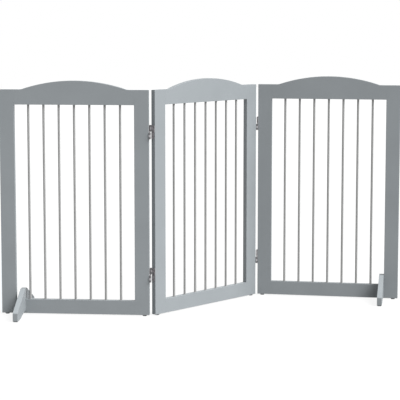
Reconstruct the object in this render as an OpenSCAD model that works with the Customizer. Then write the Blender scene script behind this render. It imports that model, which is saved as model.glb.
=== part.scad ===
// Free-standing folding pet gate: three framed wire panels, two double-action hinges at each
// of the two junctions, and two lift-off support feet. Millimetres, +Z up, floor at Z = 0,
// front towards -Y, origin at the middle of the footprint. The left panel lies along X.

/* [Panels] */
// Width of one panel
panel_w = 508; // [420:1:600]
// Height of a panel's board frame, up to its flat shoulders
panel_h = 765.5; // [700:0.5:900]
// Thickness of the boards
board_t = 16.5; // [16:0.5:19]
// Width of the upright stiles
stile_w = 49.5; // [42:0.5:60]
// Height of the top rail, up to its flat shoulders
top_rail_h = 51; // [45:0.5:60]
// Height of the bottom rail
bottom_rail_h = 48.5; // [45:0.5:60]
// How far the arch stands above the shoulders
arch_rise = 30; // [15:1:40]
// Width of the arch where it meets the shoulders
arch_span = 362; // [300:1:380]
// Radius of the hollow that eases the arch into each shoulder
arch_ease = 30; // [10:1:60]

/* [Rods] */
// Number of upright wire rods in a panel
rod_count = 7; // [5:1:9]
// Diameter of a rod
rod_d = 8; // [5:0.1:10]
// How deep a rod sits in each rail
rod_seat = 12; // [8:1:20]

/* [Stance] */
// Angle between the left and middle panels, from flat
left_fold = 50.8; // [0:0.1:100]
// Angle between the middle and right panels, from flat
right_fold = 55.8; // [0:0.1:100]

/* [Hinges] */
// Height of a hinge
hinge_h = 46; // [45:1:60]
// Gap between two panels when they stand in line
hinge_gap = 7.6; // [7.4:0.1:12]
// Height of the lower hinges' middle above the floor
lower_hinge_z = 141; // [115:1:200]
// Height of the upper hinges' middle above the floor
upper_hinge_z = 628; // [550:1:680]

/* [Feet and glides] */
// Length of a support foot, front to back
foot_len = 282; // [240:1:320]
// Height of a support foot
foot_h = 88.5; // [84:0.5:110]
// Thickness of a support foot
foot_t = 16.5; // [14:0.5:19]
// Gap between the left foot and the outer stile beside it
left_foot_gap = 15.75; // [0.5:0.25:20]
// Gap between the right foot and the outer stile beside it
right_foot_gap = 0.5; // [0.5:0.25:20]
// Height of the glides under the panels
glide_h = 4; // [3:0.5:6]
// Middle of a glide, from the panel's end
glide_in = 17; // [12:1:24]

/* [Hidden] */
$fn = 48;

paint = [0.53, 0.55, 0.56];
rod_grey = [0.58, 0.58, 0.58];
nickel = [0.72, 0.71, 0.72];
dark_nickel = [0.46, 0.45, 0.46];
plastic_grey = [0.38, 0.39, 0.39];
rubber_grey = [0.22, 0.22, 0.22];
beech = [0.80, 0.66, 0.47];

eps = 0.01;
snug = 0.05;                // clearance of a piece that sits in its own hole

// Hinge: each half holds one barrel of three knuckles, on the front pin below and the back pin above.
half_gap = hinge_gap / 2;
pin_out = 1;                // the pins' axes stand this far outside the panels' faces
pin_span = board_t + 2 * pin_out;
pin_r = 1.5;
pin_head_r = 2.3;
pin_head_h = 0.5;
barrel_r = 3.4;
barrel_h = 21.5;
knuckle_gap = 0.3;
knuckle_h = (barrel_h - 2 * knuckle_gap) / 3;
leaf_t = 1.2;
leaf_edge = 0.25;           // the leaf stops this far inside the board's faces
barrel_room = 0.4;          // between a barrel and the notches in the leaves beside it
link_t = 1.2;
link_setback = 2;
upper_barrel_z = hinge_h - barrel_h;
screw_z = [8, hinge_h / 2, hinge_h - 8];
screw_stagger = 3;
screw_head_r = 2.7;
screw_r = 1.35;
screw_len = 15.5;
screw_tip = 1.5;

dowel_r = 4;
dowel_len = 40;
dowel_pitch = 24;

glide_r = 7;
glide_chamfer = 1;
nail_r = 1;
nail_head_r = 3;
nail_head_h = 0.8;
nail_base = 1.6;            // plastic under the nail's head
nail_len = 15;

foot_pad_h = 2;
foot_pad_len = 40;
foot_pad_edge = 1.5;
foot_pad_in = 3;            // from the toe's end
foot_top = 28;
foot_tip_h = 31;
foot_toe = 50;
foot_arch_h = 14;
foot_slot = board_t + 0.6;
foot_slot_h = glide_h + bottom_rail_h + 1;

opening_h = panel_h - top_rail_h - bottom_rail_h;
rail_w = panel_w - 2 * stile_w;
rod_pitch = (rail_w + rod_d) / (rod_count + 1);      // equal clear gaps between rods and stiles
arch_r = (pow(arch_span / 2, 2) + pow(arch_rise, 2)) / (2 * arch_rise);

// Plan view: where each panel and each pin stands, from the left panel's outer front corner.
function turn(v, a) = [v.x * cos(a) - v.y * sin(a), v.x * sin(a) + v.y * cos(a)];
left_turn = 0;
middle_turn = left_fold;
right_turn = left_fold - right_fold;
left_at = [0, 0];
left_front_pin_at = [panel_w + half_gap, -pin_out];
left_back_pin_at = left_front_pin_at + [0, pin_span];
middle_at = left_back_pin_at + turn([half_gap, -board_t - pin_out], middle_turn);
right_front_pin_at = middle_at + turn([panel_w + half_gap, -pin_out], middle_turn);
right_at = right_front_pin_at + turn([half_gap, pin_out], right_turn);

// The footprint's middle, from the plan corners of the outer panels and of the feet.
function corners(at, a, x0, x1, y0, y1) =
    [for (x = [x0, x1], y = [y0, y1]) at + turn([x, y], a)];
foot_y0 = board_t / 2 - foot_len / 2;
foot_y1 = board_t / 2 + foot_len / 2;
left_foot_x = stile_w + left_foot_gap + foot_t / 2;
right_foot_x = panel_w - stile_w - right_foot_gap - foot_t / 2;
footprint = concat(
    corners(left_at, left_turn, 0, panel_w, 0, board_t),
    corners(middle_at, middle_turn, 0, panel_w, 0, board_t),
    corners(right_at, right_turn, 0, panel_w, 0, board_t),
    corners(left_at, left_turn, left_foot_x - foot_t / 2, left_foot_x + foot_t / 2, foot_y0, foot_y1),
    corners(right_at, right_turn, right_foot_x - foot_t / 2, right_foot_x + foot_t / 2, foot_y0, foot_y1));
plan_x = [for (p = footprint) p.x];
plan_y = [for (p = footprint) p.y];
centre = [min(plan_x) + max(plan_x), min(plan_y) + max(plan_y)] / 2;

module place(at, a, z = 0) {
    translate([at.x - centre.x, at.y - centre.y, z]) rotate(a) children();
}

// A panel's own frame: X across it from its left end, Y from its front face, Z from its bottom edge.
module on(panel) {
    if (panel == "left") place(left_at, left_turn, glide_h) children();
    if (panel == "middle") place(middle_at, middle_turn, glide_h) children();
    if (panel == "right") place(right_at, right_turn, glide_h) children();
}

// ---- Board frame ----

// Dowels of one corner, along X, centred on the joint between a stile and a rail.
module corner_dowels(rail_z, rail_h, r, len) {
    for (side = [-1, 1])
        translate([-len / 2, board_t / 2, rail_z + rail_h / 2 + side * dowel_pitch / 2])
            rotate([0, 90, 0]) cylinder(r = r, h = len);
}

module panel_dowels(r = dowel_r, len = dowel_len) {
    for (x = [stile_w, panel_w - stile_w]) translate([x, 0, 0]) {
        corner_dowels(0, bottom_rail_h, r, len);
        corner_dowels(panel_h - top_rail_h, top_rail_h, r, len);
    }
}

module dowel_holes() panel_dowels(dowel_r + snug, dowel_len + 1);

// Pilot holes for a hinge's front screws, in the hinge's frame.
module pilot_holes() {
    translate([eps - half_gap, 0, 0]) at_screws() rotate([0, -90, 0])
        cylinder(r = screw_r + snug, h = screw_len - leaf_t + 1);
}

module nail_holes() {
    for (x = [glide_in, panel_w - glide_in])
        translate([x, board_t / 2, -eps]) cylinder(r = nail_r + snug, h = nail_len + 1);
}

// x is the stile's left side.
module stile(x) {
    color(paint) difference() {
        translate([x, 0, 0]) cube([stile_w, board_t, panel_h]);
        dowel_holes();
        nail_holes();
        children();
    }
}

module left_stile(hinged = false) {
    stile(0) if (hinged)
        for (z = [lower_hinge_z, upper_hinge_z]) left_end(z) turned_over() pilot_holes();
}

module right_stile(hinged = false) {
    stile(panel_w - stile_w) if (hinged)
        for (z = [lower_hinge_z, upper_hinge_z]) right_end(z) pilot_holes();
}

// The rods' axes, in the middle of the boards.
module at_rods(z) {
    for (n = [1:rod_count]) translate([stile_w - rod_d / 2 + n * rod_pitch, board_t / 2, z]) children();
}

module rod_holes(z) at_rods(z) cylinder(r = rod_d / 2 + snug, h = rod_seat + eps);

// The arch and the two hollows that ease it into the shoulders, from the middle of the shoulders' line.
module arch_outline() {
    drop = arch_r - arch_rise;                        // arch centre, below the shoulders
    lap = 5;                                          // the hollows' pieces run this far into the arch
    ease_x = sqrt(pow(arch_r + arch_ease, 2) - pow(drop + arch_ease, 2));
    meet = [ease_x, drop + arch_ease] * arch_r / (arch_r + arch_ease) - [0, drop];
    intersection() {
        translate([0, -drop]) circle(r = arch_r, $fn = 360);
        translate([-arch_span / 2, -eps]) square([arch_span, arch_rise + 1]);
    }
    for (side = [-1, 1]) scale([side, 1]) difference() {
        polygon([[meet.x - lap, -eps], [ease_x, -eps], [ease_x, 0], meet, [meet.x - lap, 1]]);
        translate([ease_x, arch_ease]) circle(r = arch_ease, $fn = 96);
    }
}

module top_rail() {
    color(paint) difference() {
        translate([stile_w, board_t, panel_h - top_rail_h]) rotate([90, 0, 0])
            linear_extrude(board_t) {
                square([rail_w, top_rail_h]);
                translate([rail_w / 2, top_rail_h]) arch_outline();
            }
        dowel_holes();
        rod_holes(panel_h - top_rail_h - eps);
    }
}

module bottom_rail() {
    color(paint) difference() {
        translate([stile_w, 0, 0]) cube([rail_w, board_t, bottom_rail_h]);
        dowel_holes();
        rod_holes(bottom_rail_h - rod_seat);
    }
}

module rods() {
    end_gap = 0.5;
    color(rod_grey) at_rods(bottom_rail_h - rod_seat + end_gap)
        cylinder(d = rod_d, h = opening_h + 2 * (rod_seat - end_gap));
}

module dowels() color(beech) panel_dowels();

// ---- Glides: a nail moulded into a plastic button ----

module nail(grow = 0) {
    translate([0, 0, nail_base - grow]) {
        cylinder(r = nail_head_r + grow, h = nail_head_h + 2 * grow);
        cylinder(r = nail_r + grow, h = glide_h - nail_base + nail_len + grow);
    }
}

module at_glides() {
    for (x = [glide_in, panel_w - glide_in]) translate([x, board_t / 2, -glide_h]) children();
}

module glides() {
    color(plastic_grey) at_glides() difference() {
        rotate_extrude() polygon([[0, 0], [glide_r - glide_chamfer, 0], [glide_r, glide_chamfer],
                                  [glide_r, glide_h], [0, glide_h]]);
        nail(snug);
    }
}

module glide_nails() color(nickel) at_glides() nail();

// ---- Double-action hinge ----
// Its frame: X = 0 in the middle of the gap, Y = 0 on the front faces' plane, Z = 0 at its lower end.

// The three screws slant away from the notches beside the barrels.
module at_screws() {
    for (n = [0:2]) translate([0, board_t / 2 + (1 - n) * screw_stagger, screw_z[n]]) children();
}

// One knuckle: n is 0 to 2 from below, on the barrel that starts at z and turns about y.
module knuckle(y, z, n) {
    translate([0, y, z + n * (knuckle_h + knuckle_gap)]) cylinder(r = barrel_r, h = knuckle_h);
}

// A leaf lies on a board's end face. The front leaf is the one on the left-hand panel.
module front_leaf() {
    notch = barrel_r + barrel_room - pin_out;
    tab_z = knuckle_h + knuckle_gap;
    color(nickel) difference() {
        union() {
            difference() {
                translate([-half_gap, leaf_edge, 0])
                    cube([leaf_t, board_t - 2 * leaf_edge, hinge_h]);
                translate([-half_gap - 1, -1, -1])
                    cube([leaf_t + 2, notch + 1, barrel_h + barrel_room + 1]);
                translate([-half_gap - 1, board_t - notch, upper_barrel_z - barrel_room])
                    cube([leaf_t + 2, notch + 1, barrel_h + barrel_room + 1]);
            }
            knuckle(-pin_out, 0, 1);
            translate([-half_gap, -pin_out, tab_z]) cube([leaf_t, pin_out + notch + eps, knuckle_h]);
            translate([-half_gap, -pin_out - leaf_t / 2, tab_z])
                cube([half_gap - pin_r - 0.5, leaf_t, knuckle_h]);
        }
        translate([0, -pin_out, -eps]) cylinder(r = pin_r + snug, h = barrel_h);
        translate([-half_gap, 0, 0]) at_screws() rotate([0, 90, 0])
            cylinder(r1 = screw_r + snug, r2 = screw_head_r + snug, h = leaf_t + eps);
    }
}

// The back leaf is the front leaf turned half a turn about the hinge's middle, along X.
module turned_over() {
    translate([0, board_t, hinge_h]) rotate([180, 0, 0]) mirror([1, 0, 0]) children();
}

module link() {
    head_room = pin_head_h + knuckle_gap;
    color(dark_nickel) difference() {
        union() {
            translate([-link_t / 2, -pin_out, 0])
                cube([link_t, pin_out + board_t - link_setback, hinge_h / 2]);
            translate([-link_t / 2, link_setback, hinge_h / 2 - eps])
                cube([link_t, board_t - link_setback + pin_out, hinge_h / 2 + eps]);
            for (n = [0, 2]) {
                knuckle(-pin_out, 0, n);
                knuckle(board_t + pin_out, upper_barrel_z, n);
            }
        }
        for (barrel = [[-pin_out, 0], [board_t + pin_out, upper_barrel_z]])
            translate([0, barrel[0], barrel[1]]) {
                translate([0, 0, -1]) cylinder(r = pin_r + snug, h = barrel_h + 2);
                translate([0, 0, knuckle_h])
                    cylinder(r = barrel_r + knuckle_gap, h = knuckle_h + 2 * knuckle_gap);
                for (z = [-head_room, barrel_h]) translate([0, 0, z])
                    cylinder(r = pin_head_r + knuckle_gap, h = head_room);
            }
    }
}

module pin() {
    color(nickel) translate([0, -pin_out, -pin_head_h]) {
        cylinder(r = pin_head_r, h = pin_head_h - snug);
        cylinder(r = pin_r, h = barrel_h + 2 * pin_head_h);
        translate([0, 0, barrel_h + pin_head_h + snug]) cylinder(r = pin_head_r, h = pin_head_h - snug);
    }
}

// Head flush with the leaf, shank along -X into the left-hand board.
module screws() {
    recess_w = 0.6;
    recess_l = 3;
    recess_d = 0.7;
    color(nickel) translate([leaf_t - half_gap, 0, 0]) at_screws() rotate([0, 90, 0]) difference() {
        rotate_extrude() polygon([[0, -snug], [screw_head_r - snug, -snug], [screw_r, -leaf_t],
                                  [screw_r, screw_tip - screw_len], [0, -screw_len]]);
        for (a = [0, 90]) rotate(a) translate([-recess_l / 2, -recess_w / 2, -recess_d])
            cube([recess_l, recess_w, recess_d]);
    }
}

module back_leaf() turned_over() front_leaf();
module front_pin() pin();
module back_pin() turned_over() pin();
module front_screws() screws();
module back_screws() turned_over() screws();

// In a panel's frame: a hinge beyond its right end or before its left end, centred on height z.
module right_end(z) translate([panel_w + half_gap, 0, z - hinge_h / 2 - glide_h]) children();
module left_end(z) translate([-half_gap, 0, z - hinge_h / 2 - glide_h]) children();

// The gap beside the outer panel that a link lies square to.
module between(square_to, z) {
    if (square_to == "left") on("left") right_end(z) children();
    if (square_to == "right") on("right") left_end(z) children();
}

// ---- Support foot ----

function unit(v) = v / norm(v);
// Points of the arc that rounds the corner b between a and c.
function round_corner(a, b, c, r, steps = 8) =
    let (u = unit(a - b), v = unit(c - b), half = acos(u * v) / 2,
         hub = b + unit(u + v) * r / sin(half),
         from = b + u * r / tan(half) - hub, to = b + v * r / tan(half) - hub,
         a0 = atan2(from.y, from.x), sweep = atan2(from.x * to.y - from.y * to.x, from * to))
    [for (n = [0:steps]) hub + r * [cos(a0 + sweep * n / steps), sin(a0 + sweep * n / steps)]];

module foot_outline() {
    tip_r = 5;
    toe_r = 2;
    shoulder_r = 12;
    arch_half = foot_len / 2 - foot_toe;
    rise = foot_arch_h - foot_pad_h;
    under_r = (arch_half * arch_half + rise * rise) / (2 * rise);
    half = [[0, foot_h], [foot_top / 2, foot_h], [foot_len / 2, foot_tip_h],
            [foot_len / 2, foot_pad_h], [arch_half, foot_pad_h]];
    side = concat(round_corner(half[0], half[1], half[2], shoulder_r),
                  round_corner(half[1], half[2], half[3], tip_r),
                  round_corner(half[2], half[3], half[4], toe_r), [half[4]]);
    last = len(side) - 1;
    difference() {
        polygon(concat(side, [for (n = [last:-1:0]) [-side[n].x, side[n].y]]));
        translate([0, foot_arch_h - under_r]) circle(r = under_r, $fn = 360);
        translate([-foot_slot / 2, 0]) square([foot_slot, foot_slot_h]);
    }
}

// In the panel's frame, astride the bottom rail, with its middle at x.
module foot(x) {
    color(paint) translate([x - foot_t / 2, board_t / 2, -glide_h])
        rotate([90, 0, 90]) linear_extrude(foot_t) foot_outline();
}

module foot_pads(x) {
    color(rubber_grey) for (end = [0, 1])
        translate([x - foot_t / 2 + foot_pad_edge,
                   end == 0 ? foot_y0 + foot_pad_in : foot_y1 - foot_pad_in - foot_pad_len, -glide_h])
            cube([foot_t - 2 * foot_pad_edge, foot_pad_len, foot_pad_h]);
}

// ---- Nodes ----

for (panel = ["left", "middle", "right"]) {
    on(panel) top_rail();
    on(panel) bottom_rail();
    on(panel) rods();
    on(panel) dowels();
    on(panel) glides();
    on(panel) glide_nails();
}

on("left") left_stile();  // left_outer_stile
on("left") right_stile(hinged = true);  // left_hinge_stile
on("middle") left_stile(hinged = true);  // middle_left_stile
on("middle") right_stile(hinged = true);  // middle_right_stile
on("right") left_stile(hinged = true);  // right_hinge_stile
on("right") right_stile();  // right_outer_stile

// junction: its name, the panel on its left, the panel on its right, and the panel that its links
// lie square to as the gate stands.
for (junction = [["left", "left", "middle", "left"], ["right", "middle", "right", "right"]],
     level = ["upper", "lower"]) {
    name = str(junction[0], "_", level, "_");
    z = level == "upper" ? upper_hinge_z : lower_hinge_z;
    before = junction[1];
    after = junction[2];
    square_to = junction[3];
    on(before) right_end(z) front_leaf();
    on(before) right_end(z) front_screws();
    on(after) left_end(z) back_leaf();
    on(after) left_end(z) back_screws();
    between(square_to, z) link();
    between(square_to, z) front_pin();
    between(square_to, z) back_pin();
}

on("left") foot(left_foot_x);  // left_foot
on("left") foot_pads(left_foot_x);  // left_foot_pads
on("right") foot(right_foot_x);  // right_foot
on("right") foot_pads(right_foot_x);  // right_foot_pads
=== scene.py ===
"""Looks of the folding pet gate: painted boards, wire rods, nickel hinges, glides and support feet.

Metres, +Z up, front towards -Y. A panel's own frame has u across it from its left end, w back from
its front face and z up from the floor.
"""
import math

import bmesh
import bpy
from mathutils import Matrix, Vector


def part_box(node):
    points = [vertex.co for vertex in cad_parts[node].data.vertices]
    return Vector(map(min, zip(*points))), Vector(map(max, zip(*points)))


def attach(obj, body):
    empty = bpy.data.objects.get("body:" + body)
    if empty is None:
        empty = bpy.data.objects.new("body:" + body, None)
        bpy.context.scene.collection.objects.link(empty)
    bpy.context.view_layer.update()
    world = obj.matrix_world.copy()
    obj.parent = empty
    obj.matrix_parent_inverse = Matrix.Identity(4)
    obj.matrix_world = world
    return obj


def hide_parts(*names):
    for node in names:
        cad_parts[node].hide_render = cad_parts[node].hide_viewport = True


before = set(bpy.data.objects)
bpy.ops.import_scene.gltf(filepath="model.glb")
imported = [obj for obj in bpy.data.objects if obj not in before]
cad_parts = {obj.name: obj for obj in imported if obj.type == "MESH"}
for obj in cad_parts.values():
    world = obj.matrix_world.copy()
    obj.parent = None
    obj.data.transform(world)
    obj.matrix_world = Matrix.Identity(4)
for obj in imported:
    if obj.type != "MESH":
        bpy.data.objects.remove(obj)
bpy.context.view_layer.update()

MM = 0.001

# ---- Camera ----

CAMERA_AT = Vector((0.4164, -4.9915, 1.043))
CAMERA_TURN = math.radians(4.97)    # to the left of straight ahead
CAMERA_TILT = math.radians(6.4)     # down
CAMERA_LENS = 130.2                 # millimetres, as the sensor's width is
CAMERA_SENSOR = 36.0
CAMERA_SHIFT = -0.075               # of the frame's width; minus is down
CAMERA_REACH = (0.05, 60.0)         # the nearest and furthest distance drawn


def make_camera():
    data = bpy.data.cameras.new("camera")
    data.lens = CAMERA_LENS
    data.sensor_width = CAMERA_SENSOR
    data.shift_y = CAMERA_SHIFT
    data.clip_start, data.clip_end = CAMERA_REACH
    camera = bpy.data.objects.new("camera", data)
    camera.location = CAMERA_AT
    camera.rotation_euler = (math.pi / 2 - CAMERA_TILT, 0.0, CAMERA_TURN)
    bpy.context.scene.collection.objects.link(camera)
    bpy.context.scene.camera = camera


make_camera()

# ---- Sizes that the CAD boxes hold: the left panel lies along X, and all panels are alike ----


def span(node):
    low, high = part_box(node)
    return high - low


def middle(node):
    low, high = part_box(node)
    return (low + high) / 2


STILE_W = span("left_outer_stile").x
BOARD_T = span("left_outer_stile").y
PANEL_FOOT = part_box("left_outer_stile")[0].z        # the boards' lower edge, above the floor
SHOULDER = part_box("left_outer_stile")[1].z
BOTTOM_RAIL_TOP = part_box("left_bottom_rail")[1].z
TOP_RAIL_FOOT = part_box("left_top_rail")[0].z
ARCH_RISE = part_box("left_top_rail")[1].z - SHOULDER
ROD_D = span("left_rods").y

# ---- Sizes that the boxes don't show, the same as in the CAD model ----

ARCH_SPAN = 362 * MM        # at the height of the shoulders
ARCH_HOLLOW = 30 * MM       # radius of the hollow between the arch and a shoulder
ROD_COUNT = 7
ROD_SEAT = 12 * MM          # depth of a rod's pocket

# ---- Finish of the pieces made here ----

EASE = 0.4 * MM             # rounding of the boards' edges
SEAM = 0.12 * MM            # rounding beside a joint between two boards
STOP = 1.5 * MM             # length over which an eased edge runs out at a joint
CORNER = 0.8 * MM           # radius of a board's outer corners
POCKET_PLAY = 0.05 * MM     # between a rod and its pocket
COUNTERSINK = 0.45 * MM     # width and depth of the bevel round a pocket
ROD_TIP = 0.6 * MM          # bevel at a rod's ends

EASE_STEPS = 4
CORNER_STEPS = 4
HOLLOW_STEPS = 8
CROWN_STEPS = 56
TURNED_SIDES = 32
SHARP = math.radians(40)    # faces that meet at more than this keep a crisp edge
FLATNESS = 80               # over 50, large faces outweigh small ones in the shading
STRAIGHT = 0.2              # sine of a turn that is too slight to be a corner


class Panel:
    """Where a panel stands: its corner, the way across it and the way back from its face."""

    def __init__(self, name, left_stile, right_stile):
        self.name = name
        self.body = name + "_panel"
        self.stiles = (left_stile, right_stile)
        first, last = middle(left_stile), middle(right_stile)
        self.across = Vector((last.x - first.x, last.y - first.y, 0)).normalized()
        self.back = Vector((-self.across.y, self.across.x, 0))
        self.width = (last - first).length + STILE_W
        self.corner = first - self.across * STILE_W / 2 - self.back * BOARD_T / 2
        self.corner.z = 0

    def at(self, u, w, z):
        return self.corner + self.across * u + self.back * w + Vector((0, 0, z))

    def in_board(self, u, z, depth):
        """A point of a stile or rail, which is drawn as its outline seen from the front."""
        return self.at(u, depth, z)

    def u_of(self, point):
        return (point - self.corner).dot(self.across)


LEFT = Panel("left", "left_outer_stile", "left_hinge_stile")
MIDDLE = Panel("middle", "middle_left_stile", "middle_right_stile")
RIGHT = Panel("right", "right_hinge_stile", "right_outer_stile")
PANELS = (LEFT, MIDDLE, RIGHT)

# ---- Materials ----


class Shader:
    """A Principled material with a few short-hands for its nodes."""

    def __init__(self, name, **sockets):
        self.material = bpy.data.materials.new(name)
        self.material.use_nodes = True
        self.tree = self.material.node_tree
        self.main = self.tree.nodes["Principled BSDF"]
        for socket, value in sockets.items():
            self.main.inputs[socket.replace("_", " ").title()].default_value = value
        self.where = self.tree.nodes.new("ShaderNodeTexCoord").outputs["Object"]

    def link(self, out, into):
        self.tree.links.new(out, into)

    def noise(self, per_metre, detail=3.0, roughness=0.55, stretch=(1, 1, 1)):
        scale = self.tree.nodes.new("ShaderNodeMapping")
        scale.inputs["Scale"].default_value = stretch
        self.link(self.where, scale.inputs["Vector"])
        made = self.tree.nodes.new("ShaderNodeTexNoise")
        made.inputs["Scale"].default_value = per_metre
        made.inputs["Detail"].default_value = detail
        made.inputs["Roughness"].default_value = roughness
        self.link(scale.outputs["Vector"], made.inputs["Vector"])
        return made.outputs["Fac"]

    def ramp(self, fac, *stops):
        """Colour over fac; each stop is (place, grey or colour)."""
        made = self.tree.nodes.new("ShaderNodeValToRGB")
        elements = made.color_ramp.elements
        while len(elements) < len(stops):
            elements.new(0.5)
        for element, (place, colour) in zip(elements, stops):
            element.position = place
            rgb = colour if isinstance(colour, tuple) else (colour,) * 3
            element.color = (*rgb, 1.0)
        self.link(fac, made.inputs["Fac"])
        return made.outputs["Color"]

    def mix(self, fac, first, second, blend="MIX"):
        made = self.tree.nodes.new("ShaderNodeMix")
        made.data_type = "RGBA"
        made.blend_type = blend
        if isinstance(fac, float):
            made.inputs["Factor"].default_value = fac
        else:
            self.link(fac, made.inputs["Factor"])
        self.link(first, made.inputs["A"])
        self.link(second, made.inputs["B"])
        return made.outputs["Result"]

    def product(self, first, second):
        made = self.tree.nodes.new("ShaderNodeMath")
        made.operation = "MULTIPLY"
        self.link(first, made.inputs[0])
        self.link(second, made.inputs[1])
        return made.outputs["Value"]

    def spread(self, fac, low, high):
        made = self.tree.nodes.new("ShaderNodeMapRange")
        made.inputs["To Min"].default_value = low
        made.inputs["To Max"].default_value = high
        self.link(fac, made.inputs["Value"])
        return made.outputs["Result"]

    def bump(self, height, depth, strength, under=None):
        """Relief of the given depth, laid over the relief under it."""
        made = self.tree.nodes.new("ShaderNodeBump")
        made.inputs["Strength"].default_value = strength
        made.inputs["Distance"].default_value = depth
        self.link(height, made.inputs["Height"])
        if under is not None:
            self.link(under, made.inputs["Normal"])
        return made.outputs["Normal"]

    def set(self, socket, out):
        self.link(out, self.main.inputs[socket])


def times(colour, k):
    return tuple(c * k for c in colour)


def paint_material():
    """Satin paint: slightly mottled, thinner and lighter on the eased edges, with a fine orange peel."""
    grey = (0.2155, 0.2345, 0.2465)
    s = Shader("satin_grey_paint")
    mottle = s.ramp(s.noise(7, detail=2), (0.3, times(grey, 0.965)), (0.7, times(grey, 1.035)))
    fine = s.ramp(s.noise(420, detail=4), (0.25, 0.94), (0.75, 1.0))
    body = s.mix(0.6, mottle, fine, "MULTIPLY")
    eased = s.tree.nodes.new("ShaderNodeAttribute")
    eased.attribute_name = "eased"
    patchy = s.product(eased.outputs["Fac"], s.spread(s.noise(90, detail=3), 0.2, 0.8))
    edge = s.ramp(s.noise(160, detail=2), (0.3, times(grey, 1.10)), (0.7, times(grey, 1.22)))
    s.set("Base Color", s.mix(patchy, body, edge))
    s.set("Roughness", s.spread(s.noise(60, detail=3), 0.46, 0.56))
    peel = s.bump(s.noise(520, detail=2, roughness=0.5), 0.08 * MM, 0.55)
    s.set("Normal", s.bump(s.noise(2600, detail=3), 0.02 * MM, 0.4, under=peel))
    return s.material


def wire_material():
    """Powder coating, with its fine pebbled surface."""
    grey = (0.262, 0.262, 0.260)
    s = Shader("powder_coated_wire")
    tone = s.ramp(s.noise(45, detail=3), (0.3, times(grey, 0.95)), (0.7, times(grey, 1.06)))
    s.set("Base Color", tone)
    s.set("Roughness", s.spread(s.noise(200), 0.34, 0.46))
    s.set("Normal", s.bump(s.noise(1500, detail=2), 0.05 * MM, 0.5))
    return s.material


def metal_material(name, colour, low, high, stretch=(1, 1, 1)):
    """Plated metal with a fine grain, drawn out along the axis where stretch is least."""
    s = Shader(name, metallic=1.0)
    tone = s.ramp(s.noise(120, detail=4), (0.3, times(colour, 0.86)), (0.7, times(colour, 1.06)))
    lines = s.noise(900, detail=3, stretch=stretch)
    s.set("Base Color", s.mix(0.5, tone, s.ramp(lines, (0.3, 0.82), (0.7, 1.0)), "MULTIPLY"))
    s.set("Roughness", s.spread(lines, low, high))
    s.set("Normal", s.bump(lines, 0.02 * MM, 0.35))
    return s.material


def plastic_material():
    s = Shader("moulded_plastic")
    s.set("Base Color", s.ramp(s.noise(150), (0.3, (0.165, 0.172, 0.176)), (0.7, (0.19, 0.197, 0.2))))
    s.set("Roughness", s.spread(s.noise(500), 0.48, 0.62))
    s.set("Normal", s.bump(s.noise(2200, detail=2), 0.03 * MM, 0.5))
    return s.material


def rubber_material():
    s = Shader("pad_rubber")
    s.set("Base Color", s.ramp(s.noise(300), (0.3, 0.03), (0.7, 0.048)))
    s.set("Roughness", s.spread(s.noise(700), 0.78, 0.92))
    s.set("Normal", s.bump(s.noise(3000, detail=4), 0.05 * MM, 0.6))
    return s.material


def beech_material():
    s = Shader("bare_beech")
    fibres = s.noise(260, detail=5, stretch=(0.12, 0.12, 1))
    s.set("Base Color", s.ramp(fibres, (0.25, (0.46, 0.29, 0.16)), (0.75, (0.66, 0.47, 0.29))))
    s.set("Roughness", s.spread(fibres, 0.6, 0.8))
    s.set("Normal", s.bump(fibres, 0.1 * MM, 0.4))
    return s.material


ROLLED = (9, 9, 1)          # grain along Z, as rolling leaves it on sheet metal
PAINT = paint_material()
WIRE = wire_material()
NICKEL = metal_material("nickel_plate", (0.70, 0.68, 0.70), 0.26, 0.42, ROLLED)
# the same nickel plate as the leaves, made darker: painted shade for the shade on the link's knuckles
SHADED_NICKEL = metal_material("dark_nickel", (0.30, 0.295, 0.305), 0.28, 0.44, ROLLED)
STEEL = metal_material("plated_steel", (0.44, 0.43, 0.435), 0.24, 0.36)
PLASTIC = plastic_material()
RUBBER = rubber_material()
BEECH = beech_material()

# ---- Making pieces ----


def mesh_of(bm, name):
    """The mesh that bm holds, with its faces turned outwards."""
    bmesh.ops.recalc_face_normals(bm, faces=bm.faces)
    mesh = bpy.data.meshes.new(name)
    bm.to_mesh(mesh)
    bm.free()
    return mesh


def finish_piece(name, mesh, body, material, nodes):
    """Puts a finished mesh in the scene as the piece that stands for the CAD nodes."""
    mesh.materials.clear()
    mesh.materials.append(material)
    piece = bpy.data.objects.new(name, mesh)
    bpy.context.scene.collection.objects.link(piece)
    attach(piece, body)
    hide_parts(*nodes)
    mesh.shade_smooth()
    mesh.set_sharp_from_angle(angle=SHARP)
    weighted = piece.modifiers.new("flat_faces", "WEIGHTED_NORMAL")
    weighted.keep_sharp = True
    weighted.mode = "FACE_AREA"
    weighted.weight = FLATNESS


def finish_board(node, mesh, body):
    finish_piece(node + "_board", mesh, body, PAINT, [node])


def inward_offsets(points, eases):
    """For each corner of a counter-clockwise outline, how it moves when each side moves in by its ease.

    The ease at a place in the list is that of the side from that corner to the next.
    """
    moves = []
    count = len(points)
    for k in range(count):
        before, here, after = points[k - 1], points[k], points[(k + 1) % count]
        d0, d1 = (here - before).normalized(), (after - here).normalized()
        n0, n1 = Vector((-d0.y, d0.x)), Vector((-d1.y, d1.x))
        e0, e1 = eases[k - 1], eases[k]
        turn = n0.x * n1.y - n0.y * n1.x
        if abs(turn) < STRAIGHT:
            between = (n0 + n1).normalized()
            moves.append(between * (e0 + e1) / 2 / between.dot(n0))
        else:
            moves.append(Vector((e0 * n1.y - e1 * n0.y, e1 * n0.x - e0 * n1.x)) / turn)
    return moves


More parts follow.
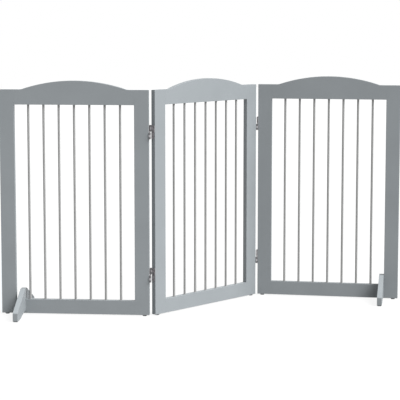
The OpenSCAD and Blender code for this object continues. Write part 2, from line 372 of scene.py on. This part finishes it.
def eased_slab(points, eases, thickness, place):
    """A board with the given outline, its edges rounded by each side's ease.

    place(x, y, depth) gives the point in the row frame. The rounding goes as deep as the widest ease.
    The float attribute eased rises from 0 on the faces to 1 midway round an edge.
    """
    bm = bmesh.new()
    eased = bm.verts.layers.float.new("eased")
    moves = inward_offsets(points, eases)
    deepest = max(eases)
    rings = []
    for far_side in (False, True):
        steps = range(EASE_STEPS + 1)
        for step in (reversed(steps) if far_side else steps):
            angle = math.pi / 2 * step / EASE_STEPS
            into = deepest * (1 - math.cos(angle))
            depth = thickness - into if far_side else into
            ring = []
            for point, move in zip(points, moves):
                p = point + move * (1 - math.sin(angle))
                vert = bm.verts.new(place(p.x, p.y, depth))
                vert[eased] = math.sin(2 * angle)
                ring.append(vert)
            rings.append(ring)
    count = len(points)
    for ring, following in zip(rings, rings[1:]):
        for k in range(count):
            n = (k + 1) % count
            bm.faces.new((ring[k], ring[n], following[n], following[k]))
    bm.faces.new(rings[0])
    bm.faces.new(reversed(rings[-1]))
    return mesh_of(bm, "slab")


def arc(centre, radius, start, end, steps):
    """Points of an arc, angles in degrees."""
    turns = [math.radians(start + (end - start) * n / steps) for n in range(steps + 1)]
    return [Vector((centre[0] + radius * math.cos(a), centre[1] + radius * math.sin(a))) for a in turns]


def lathe(bm, profile, centre, along):
    """Adds a turned solid: profile is (radius, height) from pole to pole."""
    side = along.orthogonal().normalized()
    other = along.cross(side)
    turns = [2 * math.pi * n / TURNED_SIDES for n in range(TURNED_SIDES)]
    rings = []
    for radius, height in profile:
        level = centre + along * height
        if radius == 0:
            rings.append([bm.verts.new(level)])
            continue
        rings.append([bm.verts.new(level + side * radius * math.cos(a) + other * radius * math.sin(a))
                      for a in turns])
    for ring, following in zip(rings, rings[1:]):
        for k in range(TURNED_SIDES):
            n = (k + 1) % TURNED_SIDES
            corners = [ring[k % len(ring)], ring[n % len(ring)],
                       following[n % len(following)], following[k % len(following)]]
            bm.faces.new(list(dict.fromkeys(corners)))


def cut(mesh, cutter_bm):
    """The mesh with the cutter's solids taken out of it."""
    pair = [bpy.data.objects.new("cutting", m) for m in (mesh, mesh_of(cutter_bm, "cutter"))]
    for o in pair:
        bpy.context.scene.collection.objects.link(o)
    boolean = pair[0].modifiers.new("cut", "BOOLEAN")
    boolean.operation = "DIFFERENCE"
    boolean.solver = "EXACT"
    boolean.object = pair[1]
    graph = bpy.context.evaluated_depsgraph_get()
    made = bpy.data.meshes.new_from_object(pair[0].evaluated_get(graph))
    for o in pair:
        bpy.data.objects.remove(o)
    return made


# ---- Board frames ----


def stile_outline():
    """A left stile: rounded outer corners, and seams where the two rails meet its inner edge."""
    points = arc((CORNER, PANEL_FOOT + CORNER), CORNER, 180, 270, CORNER_STEPS)
    eases = [EASE] * len(points)
    inner = [(PANEL_FOOT, SEAM), (BOTTOM_RAIL_TOP, EASE), (BOTTOM_RAIL_TOP + STOP, EASE),
             (TOP_RAIL_FOOT - STOP, EASE), (TOP_RAIL_FOOT, SEAM), (SHOULDER, EASE)]
    points += [Vector((STILE_W, z)) for z, _ in inner]
    eases += [ease for _, ease in inner]
    points += arc((CORNER, SHOULDER - CORNER), CORNER, 90, 180, CORNER_STEPS)
    eases += [EASE] * (len(points) - len(eases))
    return points, eases


def mirrored(points, eases, about):
    """The outline turned over about a height line, still counter-clockwise."""
    flipped = [Vector((2 * about - p.x, p.y)) for p in reversed(points)]
    # a side's ease stands at its first corner, so the reversed list moves up by one
    return flipped, eases[-2::-1] + eases[-1:]


def add_stiles(panel):
    outline = stile_outline()
    outlines = (outline, mirrored(*outline, panel.width / 2))
    for node, (points, eases) in zip(panel.stiles, outlines):
        finish_board(node, eased_slab(points, eases, BOARD_T, panel.in_board), panel.body)


def arch_points(middle_u):
    """The top rail's upper edge between its shoulders, from right to left."""
    radius = ((ARCH_SPAN / 2) ** 2 + ARCH_RISE ** 2) / (2 * ARCH_RISE)
    drop = radius - ARCH_RISE
    reach = math.sqrt((radius + ARCH_HOLLOW) ** 2 - (drop + ARCH_HOLLOW) ** 2)
    lean = math.degrees(math.atan2(reach, drop + ARCH_HOLLOW))
    level = SHOULDER + ARCH_HOLLOW
    right_hollow = arc((middle_u + reach, level), ARCH_HOLLOW, 270, 270 - lean, HOLLOW_STEPS)
    crown = arc((middle_u, SHOULDER - drop), radius, 90 - lean, 90 + lean, CROWN_STEPS)
    left_hollow = arc((middle_u - reach, level), ARCH_HOLLOW, 270 + lean, 270, HOLLOW_STEPS)
    return right_hollow + crown[1:-1] + left_hollow


def rod_places(panel):
    """Each rod's u, with equal clear gaps between rods and stiles."""
    pitch = (panel.width - 2 * STILE_W + ROD_D) / (ROD_COUNT + 1)
    return [STILE_W - ROD_D / 2 + (n + 1) * pitch for n in range(ROD_COUNT)]


def with_pockets(mesh, panel, z, up):
    """The rail with a countersunk pocket for each rod, opening up or down at height z."""
    radius = ROD_D / 2 + POCKET_PLAY
    rim = radius + COUNTERSINK
    profile = [(0, ROD_SEAT), (radius, ROD_SEAT), (radius, COUNTERSINK),
               (rim, 0), (rim, -COUNTERSINK), (0, -COUNTERSINK)]
    bm = bmesh.new()
    for u in rod_places(panel):
        lathe(bm, profile, panel.at(u, BOARD_T / 2, z), Vector((0, 0, -1 if up else 1)))
    return cut(mesh, bm)


def add_rails(panel):
    left, right = STILE_W, panel.width - STILE_W

    corners = [Vector((left, PANEL_FOOT)), Vector((right, PANEL_FOOT)),
               Vector((right, BOTTOM_RAIL_TOP)), Vector((left, BOTTOM_RAIL_TOP))]
    mesh = eased_slab(corners, [EASE, SEAM, EASE, SEAM], BOARD_T, panel.in_board)
    mesh = with_pockets(mesh, panel, BOTTOM_RAIL_TOP, up=True)
    finish_board(panel.name + "_bottom_rail", mesh, panel.body)

    lower = [Vector((left, TOP_RAIL_FOOT)), Vector((right, TOP_RAIL_FOOT))]
    upper = [Vector((right, SHOULDER))] + arch_points(panel.width / 2) + [Vector((left, SHOULDER))]
    eases = [EASE, SEAM] + [EASE] * (len(upper) - 1) + [SEAM]
    mesh = eased_slab(lower + upper, eases, BOARD_T, panel.in_board)
    mesh = with_pockets(mesh, panel, TOP_RAIL_FOOT, up=False)
    finish_board(panel.name + "_top_rail", mesh, panel.body)


def add_rods(panel):
    node = panel.name + "_rods"
    low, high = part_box(node)
    length = high.z - low.z
    radius = ROD_D / 2
    tip = radius - ROD_TIP
    profile = [(0, 0), (tip, 0), (radius, ROD_TIP),
               (radius, length - ROD_TIP), (tip, length), (0, length)]
    bm = bmesh.new()
    for u in rod_places(panel):
        lathe(bm, profile, panel.at(u, BOARD_T / 2, low.z), Vector((0, 0, 1)))
    finish_piece(node + "_wire", mesh_of(bm, "rods"), panel.body, WIRE, [node])


for each in PANELS:
    add_stiles(each)
for each in PANELS:
    add_rails(each)
    add_rods(each)

# ---- Support feet ----

FOOT_LEN = span("left_foot").y
FOOT_T = span("left_foot").x
FOOT_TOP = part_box("left_foot")[1].z
FOOT_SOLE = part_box("left_foot")[0].z
FOOT_CROWN = 28 * MM                        # length of the flat top
FOOT_TIP_H = 31 * MM                        # height of the foot's two ends
FOOT_TOE = 50 * MM                          # length of the sole at each end
FOOT_ARCH = 14 * MM                         # height of the arch between the toes
FOOT_SLOT = BOARD_T + 0.6 * MM              # the slot has a little play over the rail
FOOT_SLOT_TOP = BOTTOM_RAIL_TOP + 1 * MM
FOOT_EASE = 0.4 * MM
TOE_R = 2 * MM
TIP_R = 5 * MM
CROWN_R = 12 * MM
ROUNDING_STEPS = 7
FOOT_ARCH_STEPS = 14                        # from the slot to a toe

PAD_LEN = 40 * MM
PAD_RIBS = 9
RIB_H = 0.5 * MM


def rounded(before, corner, after, radius):
    """Points that round an outline's corner."""
    a, b = (before - corner).normalized(), (after - corner).normalized()
    half = a.angle(b) / 2
    hub = corner + (a + b).normalized() * radius / math.sin(half)
    first = corner + a * radius / math.tan(half) - hub
    last = corner + b * radius / math.tan(half) - hub
    start = math.degrees(math.atan2(first.y, first.x))
    sweep = math.degrees(math.atan2(first.x * last.y - first.y * last.x, first.dot(last)))
    return arc(hub, radius, start, start + sweep, ROUNDING_STEPS)


def foot_outline():
    """The foot from its side, counter-clockwise from the slot's right lip."""
    end = FOOT_LEN / 2
    inner = end - FOOT_TOE
    lip = FOOT_SLOT / 2
    rise = FOOT_ARCH - FOOT_SOLE
    under = (inner ** 2 + rise ** 2) / (2 * rise)

    def on_arch(x):
        return Vector((x, FOOT_ARCH - under + math.sqrt(under ** 2 - x ** 2)))

    half = [Vector((lip, FOOT_SLOT_TOP))]
    half += [on_arch(lip + (inner - lip) * n / FOOT_ARCH_STEPS) for n in range(FOOT_ARCH_STEPS + 1)]
    toe, tip = Vector((end, FOOT_SOLE)), Vector((end, FOOT_TIP_H))
    crown, top = Vector((FOOT_CROWN / 2, FOOT_TOP)), Vector((0, FOOT_TOP))
    half += rounded(half[-1], toe, tip, TOE_R)
    half += rounded(toe, tip, crown, TIP_R)
    half += rounded(tip, crown, top, CROWN_R)
    return half + [Vector((-p.x, p.y)) for p in reversed(half)]


def add_foot(side, panel):
    node = side + "_foot"
    points = foot_outline()
    u = panel.u_of(middle(node)) - FOOT_T / 2

    def place(w, z, depth):
        return panel.at(u + depth, BOARD_T / 2 + w, z)

    finish_board(node, eased_slab(points, [FOOT_EASE] * len(points), FOOT_T, place), node)


def pad_section(tall):
    """A pad from its side, as (length, height): a flat top over cross ribs."""
    pitch = PAD_LEN / PAD_RIBS
    rib = ((0.08, RIB_H), (0.2, 0.0), (0.8, 0.0), (0.92, RIB_H))       # in parts of a pitch
    ribs = [((n + t) * pitch, z) for n in range(PAD_RIBS) for t, z in rib]
    return [(0, tall)] + ribs + [(PAD_LEN, tall)]


def add_foot_pads(side, panel):
    """Two ribbed rubber strips, one under each toe."""
    node = side + "_foot_pads"
    low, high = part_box("left_foot_pads")        # the right foot's are alike, but stand askew
    wide, tall = high.x - low.x, high.z - low.z
    from_middle = (high.y - low.y) / 2 - PAD_LEN / 2
    u = panel.u_of(middle(side + "_foot")) - wide / 2
    section = pad_section(tall)
    bm = bmesh.new()
    for end in (-1, 1):
        start = BOARD_T / 2 + end * from_middle - PAD_LEN / 2
        near = [bm.verts.new(panel.at(u, start + x, z)) for x, z in section]
        far = [bm.verts.new(panel.at(u + wide, start + x, z)) for x, z in section]
        for k in range(len(section)):
            n = (k + 1) % len(section)
            bm.faces.new((near[k], near[n], far[n], far[k]))
        bm.faces.new(near)
        bm.faces.new(list(reversed(far)))
    finish_piece(node + "_rubber", mesh_of(bm, "pads"), side + "_foot", RUBBER, [node])


for foot_side, foot_panel in (("left", LEFT), ("right", RIGHT)):
    add_foot(foot_side, foot_panel)
    add_foot_pads(foot_side, foot_panel)

# ---- CAD nodes that stay: hinges, glides, nails and dowels ----

GLIDE_EDGE = 0.3 * MM
SHEET_EDGE = 0.15 * MM
EDGE_SEGMENTS = 2


def dress(node, material, edge=0.0):
    """Gives a CAD node its material and, where edge is set, rounds its sharp edges."""
    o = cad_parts[node]
    o.data.materials.clear()
    o.data.materials.append(material)
    if edge:
        bevel = o.modifiers.new("eased", "BEVEL")
        bevel.width = edge
        bevel.segments = EDGE_SEGMENTS
        bevel.limit_method = "ANGLE"
        bevel.angle_limit = SHARP


for each in PANELS:
    dress(each.name + "_glides", PLASTIC, GLIDE_EDGE)
    dress(each.name + "_glide_nails", STEEL)
    dress(each.name + "_dowels", BEECH)

for hinge in ("left_upper", "left_lower", "right_upper", "right_lower"):
    for part in ("front_leaf", "back_leaf"):
        dress(hinge + "_" + part, NICKEL, SHEET_EDGE)
    # painted shade: the link is drawn in the darker copy of the leaves' nickel
    dress(hinge + "_link", SHADED_NICKEL, SHEET_EDGE)
    for part in ("front_pin", "back_pin", "front_screws", "back_screws"):
        dress(hinge + "_" + part, STEEL)

# ---- Stage ----

WHITE = (1, 1, 1, 1)
KEY_FROM = math.radians(-21)        # the key light's bearing, from +X towards +Y
KEY_HEIGHT = math.radians(51)
KEY_STRENGTH = 6.75
KEY_SPREAD = math.radians(37)       # how wide its source looks, for soft shadows
SKY_STRENGTH = 0.62                 # light from all round
SKY_SEEN = 1.0                      # the white behind the gate
FLOOR_R = 14.0
FLOOR_SIDES = 96
FLOOR_DROP = 0.1 * MM               # keeps the floor from touching the pads
FLOOR_GLOW = 0.88                   # most of the white that the camera sees
FLOOR_GREY = 0.33                   # of the floor that the light falls on


def seen_apart(tree, seen, real):
    """A shader that the camera sees as one thing and everything else as another."""
    path = tree.nodes.new("ShaderNodeLightPath")
    mix = tree.nodes.new("ShaderNodeMixShader")
    tree.links.new(path.outputs["Is Camera Ray"], mix.inputs["Fac"])
    tree.links.new(real, mix.inputs[1])
    tree.links.new(seen, mix.inputs[2])
    return mix.outputs["Shader"]


def make_floor():
    """White paper with faint shadows to the camera, and a pale floor to the light around the gate."""
    s = Shader("floor", roughness=0.9, emission_color=WHITE, emission_strength=FLOOR_GLOW)
    # dark under its glow, so that shadows stay faint
    s.set("Base Color", s.ramp(s.noise(2), (0.3, 0.050), (0.7, 0.052)))
    pale = s.tree.nodes.new("ShaderNodeBsdfDiffuse")
    pale.inputs["Color"].default_value = (FLOOR_GREY, FLOOR_GREY, FLOOR_GREY, 1)
    surface = seen_apart(s.tree, seen=s.main.outputs["BSDF"], real=pale.outputs["BSDF"])
    s.link(surface, s.tree.nodes["Material Output"].inputs["Surface"])
    bm = bmesh.new()
    bmesh.ops.create_circle(bm, cap_ends=True, radius=FLOOR_R, segments=FLOOR_SIDES)
    mesh = mesh_of(bm, "floor")
    mesh.materials.append(s.material)
    floor = bpy.data.objects.new("floor", mesh)
    floor.location.z = -FLOOR_DROP
    bpy.context.scene.collection.objects.link(floor)


def make_world():
    """A dim even light from all round, with a white background for the camera."""
    world = bpy.data.worlds.new("studio")
    bpy.context.scene.world = world
    world.use_nodes = True
    tree = world.node_tree
    even = tree.nodes["Background"]
    seen = tree.nodes.new("ShaderNodeBackground")
    for background, strength in ((even, SKY_STRENGTH), (seen, SKY_SEEN)):
        background.inputs["Color"].default_value = WHITE
        background.inputs["Strength"].default_value = strength
    surface = seen_apart(tree, seen=seen.outputs["Background"], real=even.outputs["Background"])
    tree.links.new(surface, tree.nodes["World Output"].inputs["Surface"])


def make_key():
    """A soft light from the front right, well above the gate."""
    data = bpy.data.lights.new("key", "SUN")
    data.energy = KEY_STRENGTH
    data.angle = KEY_SPREAD
    key = bpy.data.objects.new("key", data)
    source = Vector((math.cos(KEY_HEIGHT) * math.cos(KEY_FROM),
                     math.cos(KEY_HEIGHT) * math.sin(KEY_FROM), math.sin(KEY_HEIGHT)))
    key.rotation_mode = "QUATERNION"
    key.rotation_quaternion = source.to_track_quat("Z", "Y")
    bpy.context.scene.collection.objects.link(key)


make_floor()
make_world()
make_key()
bpy.context.scene.view_settings.view_transform = "Standard"

bpy.context.view_layer.update()
